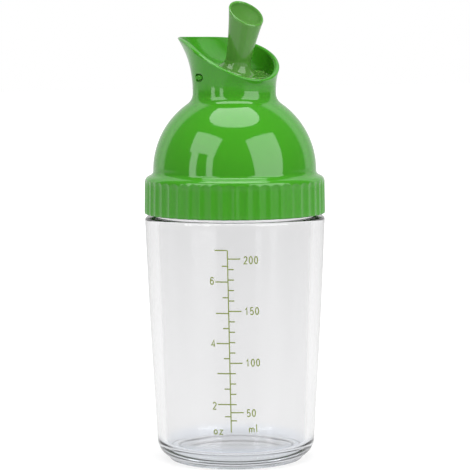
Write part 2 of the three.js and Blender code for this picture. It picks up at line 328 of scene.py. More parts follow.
def closed_bar(rings, sides):
    vertices, faces = loft(rings, sides, False)
    faces += [tuple(range(sides)), tuple(range(len(vertices) - 1, len(vertices) - sides - 1, -1))]
    return vertices, faces


def chamfered_rod(radius, reach, chamfer, sides):
    """A rod about the pivot, chamfered by steps inward along it and in its radius."""
    stations = [(along - reach, radius - down) for along, down in chamfer]
    stations += [(-y, r) for y, r in reversed(stations)]
    return closed_bar(around_pivot(stations, sides), sides)


def combine(piece, other, operation):
    bpy.context.view_layer.objects.active = piece
    modifier = piece.modifiers.new("combine", "BOOLEAN")
    modifier.operation = operation
    modifier.solver = "EXACT"
    modifier.object = other
    bpy.ops.object.modifier_apply(modifier=modifier.name)
    bpy.data.objects.remove(other)


def mirrored(sections):
    """The same sections below the middle plane, in reverse order."""
    return [(radius, -level) for radius, level in reversed(sections)]


def tagged(kind, points):
    return [(kind, point) for point in points]


def smoothstep(low, high, value):
    t = min(1.0, max(0.0, (value - low) / (high - low)))
    return t * t * (3 - 2 * t)


def thread_bump(angle, height, offset, window):
    """Height of the thread at a point, zero between its turns and past its ends."""
    along = height - offset - THREAD_LEAD * angle / (2 * math.pi)
    beside = (along + THREAD_PITCH / 2) % THREAD_PITCH - THREAD_PITCH / 2
    centre = height - beside
    fade = smoothstep(window[0], window[0] + THREAD_RUNOUT, centre)
    fade *= 1 - smoothstep(window[1] - THREAD_RUNOUT, window[1], centre)
    flank = 1 - smoothstep(THREAD_CREST, THREAD_CREST + THREAD_FLANK, abs(beside))
    return THREAD_HEIGHT * fade * flank


# Materials

def new_material(name):
    material = bpy.data.materials.new(name)
    material.use_nodes = True
    tree = material.node_tree
    shader = tree.nodes["Principled BSDF"]
    return material, tree, shader


def add_noise(tree, scale, detail=2.0):
    coordinates = tree.nodes.new("ShaderNodeTexCoord")
    noise = tree.nodes.new("ShaderNodeTexNoise")
    noise.inputs["Scale"].default_value = scale
    noise.inputs["Detail"].default_value = detail
    tree.links.new(coordinates.outputs["Object"], noise.inputs["Vector"])
    return noise


def add_ramp(tree, source, low, high):
    ramp = tree.nodes.new("ShaderNodeValToRGB")
    ramp.color_ramp.elements[0].color = low
    ramp.color_ramp.elements[1].color = high
    tree.links.new(source, ramp.inputs["Fac"])
    return ramp


def add_bump(tree, shader, source, strength, distance):
    bump = tree.nodes.new("ShaderNodeBump")
    bump.inputs["Strength"].default_value = strength
    bump.inputs["Distance"].default_value = distance
    tree.links.new(source, bump.inputs["Height"])
    tree.links.new(bump.outputs["Normal"], shader.inputs["Normal"])


def moulded_plastic(name, colour, deeper, roughness):
    material, tree, shader = new_material(name)
    cloud = add_noise(tree, 25.0)
    ramp = add_ramp(tree, cloud.outputs["Fac"], deeper, colour)
    tree.links.new(ramp.outputs["Color"], shader.inputs["Base Color"])
    polish = add_noise(tree, 180.0)
    level = tree.nodes.new("ShaderNodeMapRange")
    level.inputs["To Min"].default_value = roughness * 0.8
    level.inputs["To Max"].default_value = roughness * 1.2
    tree.links.new(polish.outputs["Fac"], level.inputs["Value"])
    tree.links.new(level.outputs["Result"], shader.inputs["Roughness"])
    ripple = add_noise(tree, 60.0, 1.0)
    add_bump(tree, shader, ripple.outputs["Fac"], 0.04, 0.0004)
    shader.inputs["IOR"].default_value = 1.5
    return material, shader


# Colour scaled by a factor; a factor below 1 is painted shade.
def shaded(colour, shade):
    return tuple(channel * shade for channel in colour) + (1,)


def green_plastic(name="green_moulding", roughness=0.07, specular=0.5, shade=1.0):
    light, deep = shaded((0.044, 0.265, 0.0095), shade), shaded((0.038, 0.248, 0.008), shade)
    material, shader = moulded_plastic(name, light, deep, roughness)
    shader.inputs["Specular IOR Level"].default_value = specular
    shader.inputs["Subsurface Weight"].default_value = 0.15
    shader.inputs["Subsurface Radius"].default_value = (0.2, 1.0, 0.1)
    shader.inputs["Subsurface Scale"].default_value = 0.003
    return material


def lever_plastic(name="lever_moulding", roughness=0.08, specular=0.5, shade=1.0):
    light, deep = shaded((0.085, 0.25, 0.04), shade), shaded((0.073, 0.228, 0.033), shade)
    material, shader = moulded_plastic(name, light, deep, roughness)
    shader.inputs["Specular IOR Level"].default_value = specular
    shader.inputs["Subsurface Weight"].default_value = 0.25
    shader.inputs["Subsurface Radius"].default_value = (0.4, 1.0, 0.3)
    shader.inputs["Subsurface Scale"].default_value = 0.004
    return material


def clear_plastic():
    """Clear, with a blue-grey cast in the thick base."""
    material, tree, shader = new_material("clear_moulding")
    haze = add_noise(tree, 40.0)
    tint = add_ramp(tree, haze.outputs["Fac"], (0.872, 0.872, 0.876, 1), (0.885, 0.885, 0.89, 1))
    place = tree.nodes.new("ShaderNodeTexCoord")
    split = tree.nodes.new("ShaderNodeSeparateXYZ")
    tree.links.new(place.outputs["Object"], split.inputs["Vector"])
    above = map_range(tree, split.outputs["Z"], (FLOOR_TOP * MM, 1.8 * FLOOR_TOP * MM), (0.0, 1.0))
    colour = tree.nodes.new("ShaderNodeMix")
    colour.data_type = "RGBA"
    tree.links.new(above, colour.inputs["Factor"])
    colour.inputs[6].default_value = (0.855, 0.885, 0.935, 1)
    tree.links.new(tint.outputs["Color"], colour.inputs[7])
    tree.links.new(colour.outputs[2], shader.inputs["Base Color"])
    flow = add_noise(tree, 12.0, 1.0)
    add_bump(tree, shader, flow.outputs["Fac"], 0.02, 0.0005)
    shader.inputs["Roughness"].default_value = 0.06
    shader.inputs["IOR"].default_value = 1.5
    shader.inputs["Transmission Weight"].default_value = 1.0
    return material


def soft_seal():
    material, tree, shader = new_material("soft_ring")
    cloud = add_noise(tree, 90.0)
    ramp = add_ramp(tree, cloud.outputs["Fac"], (0.62, 0.68, 0.6, 1), (0.72, 0.78, 0.7, 1))
    tree.links.new(ramp.outputs["Color"], shader.inputs["Base Color"])
    grain = add_noise(tree, 900.0)
    add_bump(tree, shader, grain.outputs["Fac"], 0.1, 0.0001)
    shader.inputs["Roughness"].default_value = 0.5
    shader.inputs["Subsurface Weight"].default_value = 0.3
    shader.inputs["Subsurface Scale"].default_value = 0.002
    return material


def scale_ink():
    material, tree, shader = new_material("scale_ink")
    cloud = add_noise(tree, 700.0)
    ramp = add_ramp(tree, cloud.outputs["Fac"], (0.17, 0.215, 0.03, 1), (0.2, 0.25, 0.04, 1))
    tree.links.new(ramp.outputs["Color"], shader.inputs["Base Color"])
    shader.inputs["Roughness"].default_value = 0.4
    return material


def dress(piece, material, slot, *nodes):
    piece.data.materials.append(material)
    if nodes:
        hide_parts(*nodes)
    return piece


# Cup

def wall_radius(height):
    drop = SHOULDER_HEIGHT - height
    return SHOULDER_RADIUS - WALL_DRAFT * drop - WALL_BOW * drop * drop


def cup_profile():
    inner_foot = FOOT_RADIUS - FOOT_WIDTH
    points = [(inner_foot + out, FOOT_RECESS + up) for out, up in RECESS_BLEND]
    points += arc(inner_foot + FOOT_EDGE, FOOT_EDGE, FOOT_EDGE, math.pi, 1.5 * math.pi, 4)
    points += arc(FOOT_RADIUS - FOOT_EDGE, FOOT_EDGE, FOOT_EDGE, -0.5 * math.pi, 0, 4)
    points += [(FOOT_RADIUS + out, FOOT_HEIGHT + up) for out, up in GROOVE_BLEND]
    corner_centre = wall_radius(CORNER_HEIGHT) - BASE_CORNER
    foot_turn = -math.acos((FOOT_RADIUS + FOOT_STEP - corner_centre) / BASE_CORNER)
    points += arc(corner_centre, CORNER_HEIGHT, BASE_CORNER, foot_turn, 0, 18)
    wall_top = SHOULDER_HEIGHT - SHOULDER_ROUNDING
    steps = 40
    for i in range(1, steps):
        height = CORNER_HEIGHT + (wall_top - CORNER_HEIGHT) * i / steps
        points.append((wall_radius(height), height))
    points += arc(wall_radius(wall_top) - SHOULDER_ROUNDING, wall_top, SHOULDER_ROUNDING, 0, math.pi / 2, 8)
    neck_foot = (CUP_NECK_RADIUS, SHOULDER_HEIGHT + CUP_NECK_FILLET)
    points += arc(CUP_NECK_RADIUS + CUP_NECK_FILLET, neck_foot[1], CUP_NECK_FILLET, 1.5 * math.pi, math.pi, 5)
    rim_foot = RIM_HEIGHT - RIM_ROUNDING
    points += spread(neck_foot, (CUP_NECK_RADIUS, rim_foot), 42)
    points += arc(CUP_NECK_RADIUS - RIM_ROUNDING, rim_foot, RIM_ROUNDING, 0, math.pi / 2, 5)[1:]
    points += arc(BORE_TOP + RIM_ROUNDING, rim_foot, RIM_ROUNDING, math.pi / 2, math.pi, 5)
    points += spread(points[-1], (BORE_TOP, SHOULDER_HEIGHT), 4)
    floor_corner_height = FLOOR_TOP + FLOOR_CORNER
    points += spread(points[-1], (BORE_BOTTOM, floor_corner_height), 30)
    points += arc(BORE_BOTTOM - FLOOR_CORNER, floor_corner_height, FLOOR_CORNER, 0, -math.pi / 2, 10)[1:]
    return points


def cup_thread(angle, radius, height):
    if abs(radius - CUP_NECK_RADIUS) > 0.01 or height < SHOULDER_HEIGHT or height > RIM_HEIGHT - RIM_ROUNDING:
        return 0
    return thread_bump(angle, height, 0.0, CUP_THREAD)


def make_cup():
    profile = cup_profile()
    rings = turned_rings(profile, ROUND_SIDES, cup_thread)
    for share in (0.66, 0.33):
        rings.append([(x * share, y * share, FLOOR_TOP) for x, y, _ in rings[len(profile) - 1]])
    vertices, faces = loft(rings, ROUND_SIDES, False)
    floor = len(vertices)
    vertices.append((0, 0, FLOOR_TOP))
    vertices.append((0, 0, FOOT_RECESS))
    last = (len(rings) - 1) * ROUND_SIDES
    for i in range(ROUND_SIDES):
        k = (i + 1) % ROUND_SIDES
        faces.append((last + i, last + k, floor))
        faces.append((k, i, floor + 1))
    cup = outward(make_object("cup_body", vertices, faces, "cup"))
    return dress(cup, clear_plastic(), "clear_plastic", "cup")


# Printed scale

def along_marks(marks, value):
    """Straight between the marks on either side of a value, and on past the last one."""
    above = [i for i in range(1, len(marks)) if value <= marks[i][0]]
    i = above[0] if above else len(marks) - 1
    (low, bottom), (high, top) = marks[i - 1], marks[i]
    return bottom + (top - bottom) * (value - low) / (high - low)


def mark_height(millilitres):
    return along_marks(MARKS, millilitres)


def ounce_height(ounces):
    return mark_height(along_marks(OUNCES, ounces))


def line_angle(height):
    share = (height - LINE_BOTTOM) / (LINE_TOP - LINE_BOTTOM)
    return LINE_BOTTOM_ANGLE + (LINE_TOP_ANGLE - LINE_BOTTOM_ANGLE) * share


def on_wall(along, height, lift):
    radius = wall_radius(height) + lift
    angle = line_angle(height) + along / wall_radius(height)
    return (radius * math.cos(angle), radius * math.sin(angle), height)


def ink_bar(left, right, bottom, top, across, up):
    """A thin closed bar on the wall, as vertices and faces."""
    vertices = []
    for lift in (INK_GAP, INK_GAP + INK_THICKNESS):
        for j in range(up + 1):
            for i in range(across + 1):
                height = bottom + (top - bottom) * j / up
                vertices.append(on_wall(left + (right - left) * i / across, height, lift))
    layer = (across + 1) * (up + 1)

    def at(k, j, i):
        return k * layer + j * (across + 1) + i

    faces = []
    for j in range(up):
        for i in range(across):
            faces.append((at(1, j, i), at(1, j, i + 1), at(1, j + 1, i + 1), at(1, j + 1, i)))
            faces.append((at(0, j, i), at(0, j + 1, i), at(0, j + 1, i + 1), at(0, j, i + 1)))
        faces.append((at(0, j, 0), at(1, j, 0), at(1, j + 1, 0), at(0, j + 1, 0)))
        faces.append((at(1, j, across), at(0, j, across), at(0, j + 1, across), at(1, j + 1, across)))
    for i in range(across):
        faces.append((at(0, 0, i), at(0, 0, i + 1), at(1, 0, i + 1), at(1, 0, i)))
        faces.append((at(1, up, i), at(1, up, i + 1), at(0, up, i + 1), at(0, up, i)))
    return vertices, faces


def scale_marks():
    """Left, right and height of every tick."""
    half = LINE_WIDTH / 2
    marks = []
    for volume in range(40, 201, 10):
        length = LONG_TICK if volume % 50 == 0 else SHORT_TICK
        marks.append((half, length, mark_height(volume)))
    for halves in range(3, 15):
        length = LONG_TICK if halves % 2 == 0 else SHORT_TICK
        marks.append((-length, -half, ounce_height(halves / 2)))
    return marks


def make_scale(material):
    half = LINE_WIDTH / 2
    vertices, faces = ink_bar(-half, half, LINE_BOTTOM, LINE_TOP, 1, 36)
    for left, right, height in scale_marks():
        across = 8 if right - left > SHORT_TICK else 4
        points, quads = ink_bar(left, right, height - TICK_WIDTH / 2, height + TICK_WIDTH / 2, across, 1)
        offset = len(vertices)
        vertices += points
        faces += [tuple(offset + i for i in quad) for quad in quads]
    scale = make_object("scale_lines", vertices, faces, "cup", smooth=False)
    return dress(scale, material, "scale_ink", "scale_print")


def oval(centre_x, centre_y, radius_x, radius_y, start=0.0, end=360.0, steps=24):
    """Points on an ellipse, angles in degrees."""
    points = []
    for i in range(steps + 1):
        angle = math.radians(start + (end - start) * i / steps)
        points.append((centre_x + radius_x * math.cos(angle), centre_y + radius_y * math.sin(angle)))
    return points


def sign_strokes(sign):
    """Pen strokes of a sign, in units of the numeral height, and its width."""
    if sign == "0":
        return [oval(0.25, 0.5, 0.2, 0.46)], 0.5
    if sign == "1":
        return [[(0.1, 0.72), (0.2, 0.8), (0.29, 0.96), (0.29, 0.04)]], 0.5
    if sign == "2":
        return [oval(0.25, 0.71, 0.19, 0.25, 165, -35, 12) + [(0.05, 0.04), (0.46, 0.04)]], 0.5
    if sign == "4":
        return [[(0.36, 0.04), (0.36, 0.95), (0.03, 0.3), (0.48, 0.3)]], 0.5
    if sign == "5":
        return [[(0.43, 0.96), (0.12, 0.96), (0.07, 0.5)] + oval(0.24, 0.33, 0.2, 0.29, 130, -150, 14)], 0.5
    if sign == "6":
        return [oval(0.26, 0.32, 0.19, 0.28), oval(0.29, 0.52, 0.22, 0.44, 40, 195, 12)], 0.5
    if sign == "o":
        return [oval(0.24, 0.29, 0.18, 0.25)], 0.5
    if sign == "z":
        return [[(0.05, 0.54), (0.39, 0.54), (0.04, 0.04), (0.41, 0.04)]], 0.44
    if sign == "m":
        first = oval(0.2, 0.38, 0.14, 0.16, 180, 0, 10) + [(0.34, 0.04)]
        second = oval(0.48, 0.38, 0.14, 0.16, 180, 0, 10) + [(0.62, 0.04)]
        return [[(0.06, 0.04), (0.06, 0.54)], first, second], 0.68
    return [[(0.06, 0.04), (0.06, 0.96)]], 0.12


def pen_stroke(points, width):
    """Both sides of a pen stroke, one pair of points for each point of its line."""
    pairs = []
    closed = math.dist(points[0], points[-1]) < 1e-6
    for i, point in enumerate(points):
        before = points[i - 1] if i > 0 else points[-2] if closed else point
        after = points[i + 1] if i + 1 < len(points) else points[1] if closed else point
        run_in = Vector(point) - Vector(before)
        run_out = Vector(after) - Vector(point)
        run_in = (run_in if run_in.length > 0 else run_out).normalized()
        run_out = (run_out if run_out.length > 0 else run_in).normalized()
        along = (run_in + run_out).normalized()
        side = Vector((-along.y, along.x))
        mitre = min(1.8, 1 / max(0.3, along.dot(run_in)))
        pairs.append((Vector(point) + side * width / 2 * mitre, Vector(point) - side * width / 2 * mitre))
    return pairs


def word_mesh(text, tall):
    """Flat strokes of a word as closed bars, left edge at zero and numerals centred in height."""
    bars = []
    start = 0.0
    for sign in text:
        strokes, width = sign_strokes(sign)
        for points in strokes:
            placed = [(start + x * tall, (y - 0.5) * tall) for x, y in points]
            bars.append(pen_stroke(placed, PEN_WIDTH))
        start += (width + SIGN_SPACING) * tall
    return bars, start - SIGN_SPACING * tall


def make_word(name, text, height, material, left=None, right=None, size=1.0):
    bars, width = word_mesh(text, SIGN_HEIGHT * size)
    start = left if left is not None else right - width
    vertices = []
    faces = []
    for pairs in bars:
        for lift in (INK_GAP, INK_GAP + INK_THICKNESS):
            base = len(vertices)
            for pair in pairs:
                vertices += [on_wall(start + x, height + y, lift) for x, y in pair]
        below = base - 2 * len(pairs)
        for i in range(len(pairs) - 1):
            a, b, c, d = 2 * i, 2 * i + 1, 2 * i + 3, 2 * i + 2
            faces += [(base + a, base + b, base + c, base + d), (below + d, below + c, below + b, below + a)]
            faces += [(below + a, base + a, base + d, below + d), (base + b, below + b, below + c, base + c)]
        last = 2 * len(pairs) - 2
        faces.append((below, below + 1, base + 1, base))
        faces.append((below + last + 1, below + last, base + last, base + last + 1))
    word = outward(make_object(name, vertices, faces, "cup", smooth=False))
    return dress(word, material, "scale_ink")


def make_labels(material):
    for volume, shift in ML_LABELS:
        make_word(f"label_{volume}", str(volume), mark_height(volume) + shift, material, left=ML_LABEL_LEFT)
    for ounces, shift in OZ_LABELS:
        height = ounce_height(ounces) + shift
        make_word(f"label_oz_{ounces}", str(ounces), height, material, right=OZ_LABEL_RIGHT)
    ml_left, ml_height = ML_LABEL_LEFT + ML_UNIT_SHIFT, UNIT_HEIGHT + ML_UNIT_SHIFT
    make_word("label_ml", "ml", ml_height, material, left=ml_left, size=UNIT_SIZE)
    make_word("label_oz", "oz", UNIT_HEIGHT, material, right=OZ_UNIT_RIGHT, size=UNIT_SIZE)


# Lid

def rim_radius(angle):
    return MOUTH_RADIUS + SPOUT_REACH * math.exp(-((angle / SPOUT_HALF_ANGLE) ** 2))


def rim_height(angle):
    forward = rim_radius(angle) * math.cos(angle)
    share = min(1.0, max(0.0, (forward + MOUTH_RADIUS) / RIM_RISE_LENGTH))
    return RIM_REAR + RIM_RISE * (1 - (1 - share) ** RIM_SHARPNESS)


def rim_thickness(angle):
    share = (rim_radius(angle) - MOUTH_RADIUS) / SPOUT_REACH
    return RIM_REAR_THICKNESS + (RIM_SPOUT_THICKNESS - RIM_REAR_THICKNESS) * share


def sill_height(angle):
    slope = PIVOT + NECK_BORE * math.cos(angle) * math.tan(STOPPER_TILT)
    above = slope + STOPPER_THICKNESS / 2 / math.cos(STOPPER_TILT) + SILL_GAP
    return min(above, rim_height(angle) - REAR_LIP)


def mouth_inside(share):
    def ring(angle):
        low = sill_height(angle)
        top = rim_height(angle) - rim_thickness(angle) / 3
        edge = rim_radius(angle) - rim_thickness(angle)
        return (NECK_BORE + (edge - NECK_BORE) * share ** SILL_SHARPNESS, low + (top - low) * share)
    return ring


def mouth_outside(share):
    def ring(angle):
        top = rim_height(angle) - rim_thickness(angle) / 3
        flare = (rim_radius(angle) - NECK_RADIUS) * share ** FLARE_SHARPNESS
        return (NECK_RADIUS + flare, FLARE_START + (top - FLARE_START) * share)
    return ring


def rim_edge(turn):
    """Half-round top of the rim, from its inner side at pi to its outer side at 0."""
    def ring(angle):
        half = rim_thickness(angle) / 2
        middle = rim_radius(angle) - half
        low = rim_height(angle) - rim_thickness(angle) / 3
        return (middle + half * math.cos(turn), low + rim_thickness(angle) / 3 * math.sin(turn))
    return ring


def collar_thread(angle, height):
    return thread_bump(angle, height, THREAD_PITCH / 2, LID_THREAD)


def grip_depth(turn, height):
    pitch = 2 * math.pi / GRIPS
    beside = ((turn + pitch / 2) % pitch - pitch / 2) * COLLAR_RADIUS
    past_top = max(0.0, height - GRIP_TOP)
    reach = math.hypot(beside, past_top) / (GRIP_WIDTH / 2)
    if reach >= GRIP_FADE[1]:
        return 0.0
    return GRIP_DEPTH * (1 - reach * reach) * (1 - smoothstep(*GRIP_FADE, reach))


def lid_profile():
    """Rings of the lid's section in order: plain points or functions of the angle from the spout."""
    foot = (COLLAR_INNER, COLLAR_BOTTOM + LID_EDGE)
    rings = tagged("inner", [(COLLAR_INNER + LID_EDGE, COLLAR_BOTTOM), foot])
    ledge_foot = LEDGE_HEIGHT - LEDGE_FILLET
    rings += tagged("thread", spread(foot, (COLLAR_INNER, ledge_foot), 40))
    ledge_corner = arc(COLLAR_INNER - LEDGE_FILLET, ledge_foot, LEDGE_FILLET, 0, math.pi / 2, 4)[1:]
    rings += tagged("inner", ledge_corner)
    rings += tagged("inner", spread(ledge_corner[-1], (DOME_INNER + LID_EDGE, LEDGE_HEIGHT), 4))
    skirt = [(DOME_INNER, LEDGE_HEIGHT + LID_EDGE), (DOME_INNER, LEDGE_HEIGHT + DOME_SKIRT)]
    rings += tagged("inner", skirt)
    meets = math.acos((NECK_BORE + BORE_CORNER) / DOME_INNER)
    rings += tagged("inner", arc(0, DOME_CENTRE, DOME_INNER, 0, meets, 22))
    bore_foot = DOME_CENTRE + DOME_INNER * math.sin(meets) + BORE_CORNER
    rings += tagged("inner", [(NECK_BORE + out, bore_foot + up) for out, up in BORE_BLEND])
    rings += tagged("mouth", [mouth_inside(i / 14) for i in range(15)])
    rings += tagged("mouth", [rim_edge(math.pi * (1 - i / 6)) for i in range(1, 6)])
    rings += tagged("mouth", [mouth_outside(1 - i / 18) for i in range(19)])
    reach = NECK_RADIUS + NECK_FILLET
    rise = math.sqrt((DOME_RADIUS + NECK_FILLET) ** 2 - reach ** 2)
    turn = math.atan2(rise, reach)
    rings += tagged("outer", arc(reach, DOME_CENTRE + rise, NECK_FILLET, math.pi, math.pi + turn, 12))
    rings += tagged("outer", arc(0, DOME_CENTRE, DOME_RADIUS, turn, 0, 30)[1:])
    fillet = DOME_FOOT_FILLET
    foot_turn = math.pi + SHOULDER_TURN
    rings += tagged("outer", arc(DOME_RADIUS + fillet, DOME_CENTRE, fillet, math.pi, foot_turn, 7)[1:])
    centre = COLLAR_TOP_RADIUS - COLLAR_SHOULDER_ROUNDING
    shoulder = arc(centre, COLLAR_SHOULDER, COLLAR_SHOULDER_ROUNDING, SHOULDER_TURN, 0, 9)
    rings += tagged("grip", shoulder)
    corner_height = COLLAR_BOTTOM + COLLAR_CORNER
    rings += tagged("grip", spread(shoulder[-1], (COLLAR_RADIUS, corner_height), 14))
    corner = arc(COLLAR_RADIUS - COLLAR_CORNER, corner_height, COLLAR_CORNER, 0, -math.pi / 2, 6)
    return rings + tagged("grip", corner[1:])


def make_lid():
    sides = GRIPS * SIDES_PER_GRIP
    rings = []
    for kind, ring in lid_profile():
        points = []
        for i in range(sides):
            turn = 2 * math.pi * i / sides
            from_spout = min(turn, 2 * math.pi - turn)
            radius, height = ring(from_spout) if kind == "mouth" else ring
            if kind == "thread":
                radius -= collar_thread(turn + math.pi, height)
            if kind == "grip":
                radius -= grip_depth(turn, height)
            points.append((-radius * math.cos(turn), -radius * math.sin(turn), height))
        rings.append(points)
    vertices, faces = loft(rings, sides, True)
    lid = outward(make_object("lid_shell", vertices, faces, "lid"))
    lid.data.materials.append(green_plastic())
    lid.data.materials.append(green_plastic("green_satin_painted_shade", MOUTH_ROUGHNESS, MOUTH_SPECULAR, MOUTH_PAINTED_SHADE))
    # Faces inside the mouth above the flare get the second material, whose darker colour is painted shade.
    for polygon in lid.data.polygons:
        faces_axis = polygon.normal.x * polygon.center.x + polygon.normal.y * polygon.center.y < 0
        if faces_axis and polygon.center.z > FLARE_START * MM:
            polygon.material_index = 1
    cut_pin_holes(lid)
    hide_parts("lid")
    return lid


def rod(name, radius, start, end, sides=48):
    return loose_object(name, *closed_bar(around_pivot([(start, radius), (end, radius)], sides), sides))


def through_rod(name, radius):
    """A rod along the pin's axis that is longer than the neck is wide."""
    return rod(name, radius, -2 * NECK_RADIUS, 2 * NECK_RADIUS)


def rounded_bar(name, width, height, start, end, steps=8):
    """A bar along Y through the pivot, with half-round sides."""
    half = height / 2
    side = width / 2 - half
    outline = [(side + half * math.cos(t), half * math.sin(t))
               for t in (-math.pi / 2 + math.pi * i / steps for i in range(steps + 1))]
    outline += [(-x, -z) for x, z in outline]
    rings = [[(x, y, PIVOT + z) for x, z in outline] for y in (start, end)]
    return loose_object(name, *closed_bar(rings, len(outline)))


def cut_pin_holes(lid):
    for side in (-1, 1):
        ends = sorted((side * PIN_POCKET_FLOOR, side * 1.2 * NECK_RADIUS))
        combine(lid, rounded_bar("pin_pocket", PIN_POCKET_WIDTH, PIN_POCKET_HEIGHT, *ends), "DIFFERENCE")
    combine(lid, through_rod("pin_hole", PIN_RADIUS + PIN_FIT), "DIFFERENCE")


# Lever with the stopper plate

def lever_radius(along):
    return LEVER_ROOT + LEVER_FLARE * (along / LEVER_FLARE_LENGTH) ** LEVER_SHARPNESS


def lever_point(turn, along):
    """A point of the stem's side: turn about its axis, which leans to the rear."""
    radius = lever_radius(along) + foot_fillet(along)
    x, y = radius * math.cos(turn), radius * math.sin(turn)
    lean_x = x * math.cos(LEVER_LEAN) + along * math.sin(LEVER_LEAN)
    lean_z = -x * math.sin(LEVER_LEAN) + along * math.cos(LEVER_LEAN)
    return Vector((LEVER_OFFSET + lean_x, y, PIVOT + lean_z))


def foot_fillet(along):
    start = STOPPER_THICKNESS / 2
    rise = max(0.0, start + LEVER_FOOT_FILLET + LEVER_FOOT_GAP - along)
    if rise <= 0:
        return 0.0
    share = min(1.0, rise / LEVER_FOOT_FILLET)
    return LEVER_FOOT_FILLET * (1 - math.sqrt(max(0.0, 1 - share * share)))


def end_centre():
    across = LEVER_OFFSET + LEVER_LENGTH * math.sin(LEVER_LEAN)
    return Vector((across, 0, PIVOT + LEVER_LENGTH * math.cos(LEVER_LEAN)))


def end_normal():
    return Vector((math.sin(LEVER_CUT), 0, math.cos(LEVER_CUT)))


def length_to_cut(turn):
    """How far along the stem its side meets the oblique end plane, found by halving a span that holds it."""
    normal = end_normal()
    low, high = 10.0, 45.0
    for _ in range(40):
        middle = (low + high) / 2
        if (lever_point(turn, middle) - end_centre()).dot(normal) < 0:
            low = middle
        else:
            high = middle
    return low


def make_lever_stem(sides=160):
    turns = [2 * math.pi * i / sides for i in range(sides)]
    lengths = [length_to_cut(turn) for turn in turns]
    steps = 46
    rings = []
    for j in range(steps + 1):
        share = j / steps
        rings.append([tuple(lever_point(turn, LEVER_START + (length - LEVER_EDGE - LEVER_START) * share))
                      for turn, length in zip(turns, lengths)])
    normal = end_normal()
    outline = [lever_point(turn, length) for turn, length in zip(turns, lengths)]
    centre = sum(outline, Vector()) / sides

    def end_ring(share, drop):
        return [tuple(centre + (point - centre) * share - normal * drop) for point in outline]

    rings += [end_ring(1 - inset, drop) for inset, drop in DISH_LIP]
    span = lever_radius(LEVER_LENGTH)
    first_inner = (span - DISH_RIM) / span - DISH_LIP_WIDTH
    for j in range(1, 13):
        share = first_inner * (1 - j / 13)
        depth = DISH_DEPTH * (1 - (share / first_inner) ** 2) ** DISH_SHARPNESS + DISH_LIP_DROP
        rings.append(end_ring(share, depth))
    vertices, faces = loft(rings, sides, False)
    vertices.append(tuple(centre - normal * (DISH_DEPTH + DISH_LIP_DROP)))
    top = len(vertices) - 1
    last = (len(rings) - 1) * sides
    for i in range(sides):
        faces.append((last + i, last + (i + 1) % sides, top))
    faces.append(tuple(range(sides - 1, -1, -1)))
    return vertices, faces


def plate_point(turn, radius, level):
    """A point of the stopper: its outline is round seen from above and its faces lie on the tilted plane."""
    x, y = radius * math.cos(turn), radius * math.sin(turn)
    z = PIVOT - x * math.tan(STOPPER_TILT) + level / math.cos(STOPPER_TILT)
    return (x, y, z)


def plate_ring(radius, level, sides):
    return [plate_point(2 * math.pi * i / sides, radius, level) for i in range(sides)]


def make_plate(sides=192):
    reach = NECK_BORE - STOPPER_GAP
    half = STOPPER_THICKNESS / 2
    groove = NECK_BORE - SEAL_WIDTH - SEAL_GAP
    seal = SEAL_HEIGHT / 2 + SEAL_GROOVE_GAP
    bevel = [(reach - back, half - down) for back, down in PLATE_BEVEL]
    middle = [(0.001, half), (reach * 0.3, half), (reach * 0.6, half)]
    sections = middle + [(reach - 0.7, half)] + bevel + [(reach, seal), (groove, seal)]
    sections += [(groove, -seal), (reach, -seal)] + mirrored(bevel) + mirrored(middle)
    rings = [plate_ring(radius, level, sides) for radius, level in sections]
    vertices, faces = loft(rings, sides, False)
    faces += [tuple(range(sides - 1, -1, -1)), tuple(range(len(vertices) - sides, len(vertices)))]
    return vertices, faces


def make_lever():
    vertices, faces = make_lever_stem()
    lever = outward(make_object("lever_body", vertices, faces, "lever"))
    boss = chamfered_rod(BOSS_RADIUS, BOSS_REACH, BOSS_CHAMFER, 64)
    combine(lever, loose_object("boss", *boss), "UNION")
    combine(lever, loose_object("plate", *make_plate()), "UNION")
    combine(lever, through_rod("pin_bore", PIN_RADIUS + PIN_RUNNING), "DIFFERENCE")
    lever.data.shade_smooth()
    lever.data.set_sharp_from_angle(angle=math.radians(40))
    lever.data.materials.clear()
    lever.data.materials.append(lever_plastic())
    lever.data.materials.append(lever_plastic("lever_satin_painted_shade", DISH_ROUGHNESS, DISH_SPECULAR, DISH_PAINTED_SHADE))
    # Faces inside the end's dish get the second material, whose darker colour is painted shade in the hollow.
    for polygon in lever.data.polygons:
        offset = polygon.center / MM - end_centre()
        in_dish = offset.length < 1.5 * LEVER_ROOT and offset.dot(polygon.normal) < -0.05
        polygon.material_index = 1 if in_dish else 0
    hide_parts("lever")
    return lever


def make_seal(material, sides=192):
    outer = NECK_BORE - SEAL_GAP
    inner = NECK_BORE - SEAL_WIDTH
    half = SEAL_HEIGHT / 2
    upper = [(inner, half - 0.2), (inner + 0.2, half), (outer - 0.7, half), (outer - 0.3, half - 0.15)]
    upper.append((outer - 0.05, half - 0.6))
    sections = upper + [(outer, 0)] + mirrored(upper)
    rings = [plate_ring(radius, level, sides) for radius, level in sections]
    vertices, faces = loft(rings, sides, True)
    seal = outward(make_object("stopper_ring", vertices, faces, "lever"))
    combine(seal, through_rod("seal_bore", PIN_RADIUS + PIN_RUNNING), "DIFFERENCE")
    seal.data.shade_smooth()
    seal.data.set_sharp_from_angle(angle=math.radians(50))
    return dress(seal, material, "soft_seal", "stopper_seal")


def make_pin(material):
    pin = outward(make_object("pin_rod", *chamfered_rod(PIN_RADIUS, PIN_REACH, PIN_CHAMFER, 48), "lid"))
    for side in (-1, 1):
        ends = sorted((side * (PIN_POCKET_FLOOR + PIN_FIT), side * (PIN_REACH - PIN_HEAD_STEP)))
        combine(pin, rounded_bar("pin_head", PIN_HEAD_WIDTH, PIN_HEAD_HEIGHT, *ends), "UNION")
    pin.data.shade_smooth()
    pin.data.set_sharp_from_angle(angle=math.radians(40))
    return dress(pin, material, "green_plastic", "hinge_pin")


